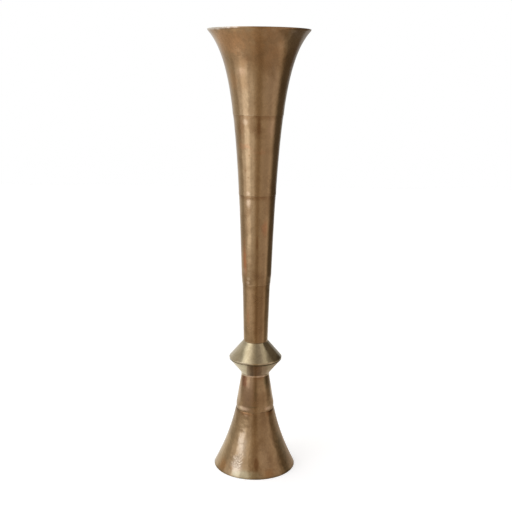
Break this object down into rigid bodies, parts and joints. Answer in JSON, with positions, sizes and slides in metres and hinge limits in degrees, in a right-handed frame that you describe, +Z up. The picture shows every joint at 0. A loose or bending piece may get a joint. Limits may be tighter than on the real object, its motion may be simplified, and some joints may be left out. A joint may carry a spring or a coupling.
{
  "type": "trumpet vase",
  "caption": "Tall slender brass trumpet vase: a flared mouth on a seamed neck, a double-cone knop and a flared hollow foot, drawn together by a hidden tie rod.",
  "frame": {"origin": "on the floor, under the middle of the foot", "axes": "+Z up along the vase's axis, +X and +Y level; the vase is round, so -Y is simply the side seen in the picture"},
  "size_m": [0.1812, 0.1812, 0.8],
  "materials": {
    "aged_brass": "satin, aged and mottled",
    "knop_brass": "satin, paler and cleaner than the rest",
    "inner_brass": "dull, unpolished",
    "plated_steel": "zinc plated, dull"
  },
  "bodies": {
    "root": {"mouth_section": "aged_brass", "upper_neck_section": "aged_brass", "middle_neck_section": "aged_brass", "lower_neck_section": "aged_brass", "knop_upper_cone": "knop_brass", "knop_lower_cone": "knop_brass", "foot_collar_section": "aged_brass", "foot_flare": "aged_brass", "well_floor": "inner_brass", "stud_boss": "inner_brass", "foot_bridge": "inner_brass", "tie_rod": "plated_steel", "tie_nut": "plated_steel", "flat_washer": "plated_steel", "lock_washer": "plated_steel"}
  },
  "joints": []
}
